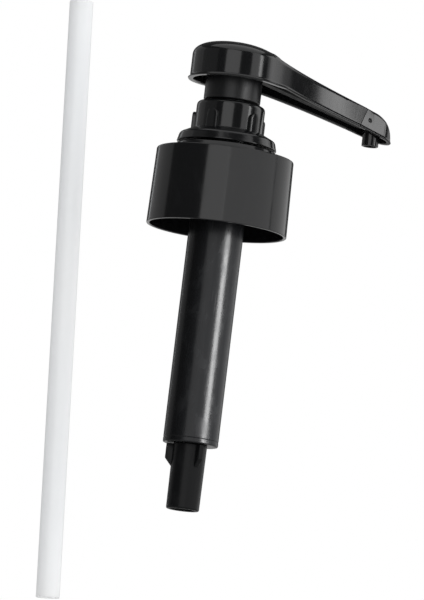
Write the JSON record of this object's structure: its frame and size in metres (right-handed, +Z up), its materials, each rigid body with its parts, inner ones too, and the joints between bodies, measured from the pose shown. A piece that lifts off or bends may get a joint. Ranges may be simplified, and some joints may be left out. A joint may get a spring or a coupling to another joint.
{
  "type": "condiment pump dispenser",
  "caption": "Manual piston pump for thick sauces: palm head with a drooping swivel spout, ribbed collar, smooth screw closure, barrel, finned foot valve and a loose dip tube.",
  "frame": {"origin": "on the pump's axis, in the plane of the neck gasket's underside, where the rim of the jar bears", "axes": "+Z up along the pump's axis, +X along the spout away from the pump"},
  "size_m": [0.1486, 0.1455, 0.3231],
  "materials": {
    "gloss_black": "gloss",
    "satin_black": "satin",
    "natural_plastic": "satin",
    "milky_tube": "satin",
    "seal_rubber": "matte",
    "stainless_steel": "satin"
  },
  "bodies": {
    "pump_body": {"barrel": "gloss_black", "lock_collar": "gloss_black", "neck_gasket": "seal_rubber", "stem_guide": "natural_plastic", "stem_wiper": "seal_rubber", "inlet_ball_cage": "natural_plastic", "tail_piece": "gloss_black", "tail_seal": "seal_rubber", "dip_tube": "milky_tube"},
    "closure": {"screw_closure": "gloss_black"},
    "piston": {"piston_body": "natural_plastic", "piston_seal": "seal_rubber", "piston_retainer": "natural_plastic", "stroke_sleeve": "natural_plastic", "return_spring": "stainless_steel"},
    "head": {"actuator_head": "gloss_black", "nozzle_tip": "gloss_black", "spout_channel": "gloss_black", "head_boss": "satin_black", "stem": "natural_plastic", "stem_seal": "seal_rubber"},
    "outlet_valve": {"outlet_ball": "stainless_steel"},
    "inlet_valve": {"inlet_ball": "stainless_steel"}
  },
  "joints": [
    {"name": "closure_spin", "type": "hinge", "parent": "pump_body", "child": "closure", "pos_m": [0, 0, 0], "axis": [0, 0, 1], "continuous": true},
    {"name": "plunger_stroke", "type": "slide", "parent": "pump_body", "child": "piston", "axis": [0, 0, 1], "range_m": [0, 0.058], "deforming": ["return_spring"]},
    {"name": "head_swivel", "type": "hinge", "parent": "piston", "child": "head", "pos_m": [0, 0, 0], "axis": [0, 0, 1], "continuous": true},
    {"name": "outlet_ball_lift", "type": "slide", "parent": "piston", "child": "outlet_valve", "axis": [0, 0, 1], "range_m": [0, 0.003]},
    {"name": "inlet_ball_lift", "type": "slide", "parent": "pump_body", "child": "inlet_valve", "axis": [0, 0, 1], "range_m": [0, 0.003]}
  ]
}
